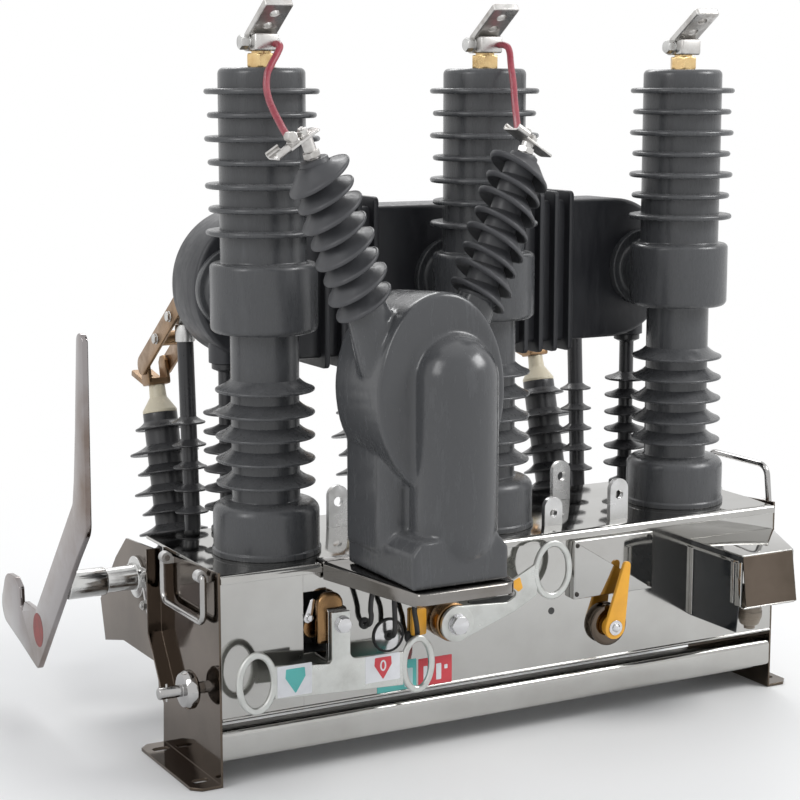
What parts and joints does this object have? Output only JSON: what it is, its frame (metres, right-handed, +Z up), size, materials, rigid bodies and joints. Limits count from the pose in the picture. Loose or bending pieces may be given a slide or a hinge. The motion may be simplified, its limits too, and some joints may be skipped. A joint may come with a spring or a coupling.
{
  "type": "pole-mounted vacuum circuit breaker",
  "caption": "Pole-mounted outdoor vacuum circuit breaker with a side disconnector, sensor bar and voltage transformer on a stainless steel housing.",
  "frame": {"origin": "centre of the four foot bolt slots, on the undersides of the feet", "axes": "+X along the front to the right, +Y from the front to the back, +Z up"},
  "size_m": [1.063, 0.788, 1.0178],
  "materials": {
    "polished_steel": "satin",
    "dark_steel": "satin",
    "insulator": "gloss",
    "bar_housing": "matte",
    "brass": "satin",
    "tinned": "satin",
    "copper": "satin",
    "cream_cap": "satin",
    "red_lead": "satin",
    "black_cable": "matte",
    "gland": "matte",
    "yellow_paint": "gloss"
  },
  "bodies": {
    "housing": {"top_plate": "polished_steel", "front_panel": "polished_steel", "rear_panel": "polished_steel", "bottom_pan": "polished_steel", "left_end_plate": "polished_steel", "right_end_plate": "polished_steel", "base_rails": "polished_steel", "connector_hood": "polished_steel", "lever_mounts": "polished_steel", "lifting_lugs": "polished_steel", "handle_eyes": "polished_steel", "cross_beam": "polished_steel", "shaft_bearings": "polished_steel", "vt_bracket": "polished_steel", "cover_plate": "dark_steel", "latch_recess": "dark_steel", "left_pole": "insulator", "mid_pole": "insulator", "right_pole": "insulator", "vt_body": "insulator", "bushings": "insulator", "rear_posts": "insulator", "bar_supports": "insulator", "sensor_bar": "bar_housing", "terminal_studs": "brass", "terminal_clamps": "tinned", "bushing_terminals": "tinned", "outlet_hinges": "copper", "jaw_contacts": "copper", "post_caps": "cream_cap", "left_lead": "red_lead", "right_lead": "red_lead", "cable_1": "black_cable", "cable_2": "black_cable", "cable_3": "black_cable", "cable_glands": "gland", "connector_plug": "gland"},
    "disconnector_drive": {"disconnector_shaft": "polished_steel", "operating_lever": "polished_steel"},
    "rods": {"pull_rods": "insulator"},
    "blade_set": {"blades": "copper"},
    "interlock": {"interlock_shaft": "polished_steel"},
    "pull_rocker": {"pull_lever": "polished_steel"},
    "charging_arm": {"charging_lever": "polished_steel"},
    "selector": {"selector_lever": "yellow_paint"},
    "left_grip": {"left_handle": "polished_steel"},
    "right_grip": {"right_handle": "polished_steel"}
  },
  "joints": [
    {"name": "disconnector_turn", "type": "hinge", "parent": "housing", "child": "disconnector_drive", "pos_m": [0, 0.188, 0.22], "axis": [-1, 0, 0], "range_deg": [0, 33]},
    {"name": "blade_swing", "type": "hinge", "parent": "housing", "child": "blade_set", "pos_m": [0, 0.212, 0.626], "axis": [-1, 0, 0], "range_deg": [0, 33]},
    {"name": "rod_pivot", "type": "hinge", "parent": "disconnector_drive", "child": "rods", "pos_m": [0, 0.25596, 0.17063], "axis": [-1, 0, 0], "range_deg": [-33, 0]},
    {"name": "interlock_turn", "type": "hinge", "parent": "housing", "child": "interlock", "pos_m": [-0.455, -0.045, 0.122], "axis": [-1, 0, 0], "range_deg": [0, 30]},
    {"name": "pull_rocker_turn", "type": "hinge", "parent": "housing", "child": "pull_rocker", "pos_m": [-0.293, -0.1305, 0.208], "axis": [0, 1, 0], "range_deg": [-9, 9]},
    {"name": "charging_turn", "type": "hinge", "parent": "housing", "child": "charging_arm", "pos_m": [-0.117, -0.1305, 0.184], "axis": [0, 1, 0], "range_deg": [0, 60], "stiffness_Nm_per_rad": 2.5, "springref_deg": -20.05},
    {"name": "selector_turn", "type": "hinge", "parent": "housing", "child": "selector", "pos_m": [0.149, -0.143, 0.141], "axis": [0, 1, 0], "range_deg": [-90, 0]},
    {"name": "left_handle_turn", "type": "hinge", "parent": "housing", "child": "left_grip", "pos_m": [-0.465, 0, 0.278], "axis": [0, 1, 0], "range_deg": [0, 186]},
    {"name": "right_handle_turn", "type": "hinge", "parent": "housing", "child": "right_grip", "pos_m": [0.465, 0, 0.278], "axis": [0, 1, 0], "range_deg": [0, 186]}
  ],
  "couplings": [
    {"joint": "blade_swing", "follows": "disconnector_turn", "ratio": 1},
    {"joint": "rod_pivot", "follows": "disconnector_turn", "ratio": -1}
  ]
}
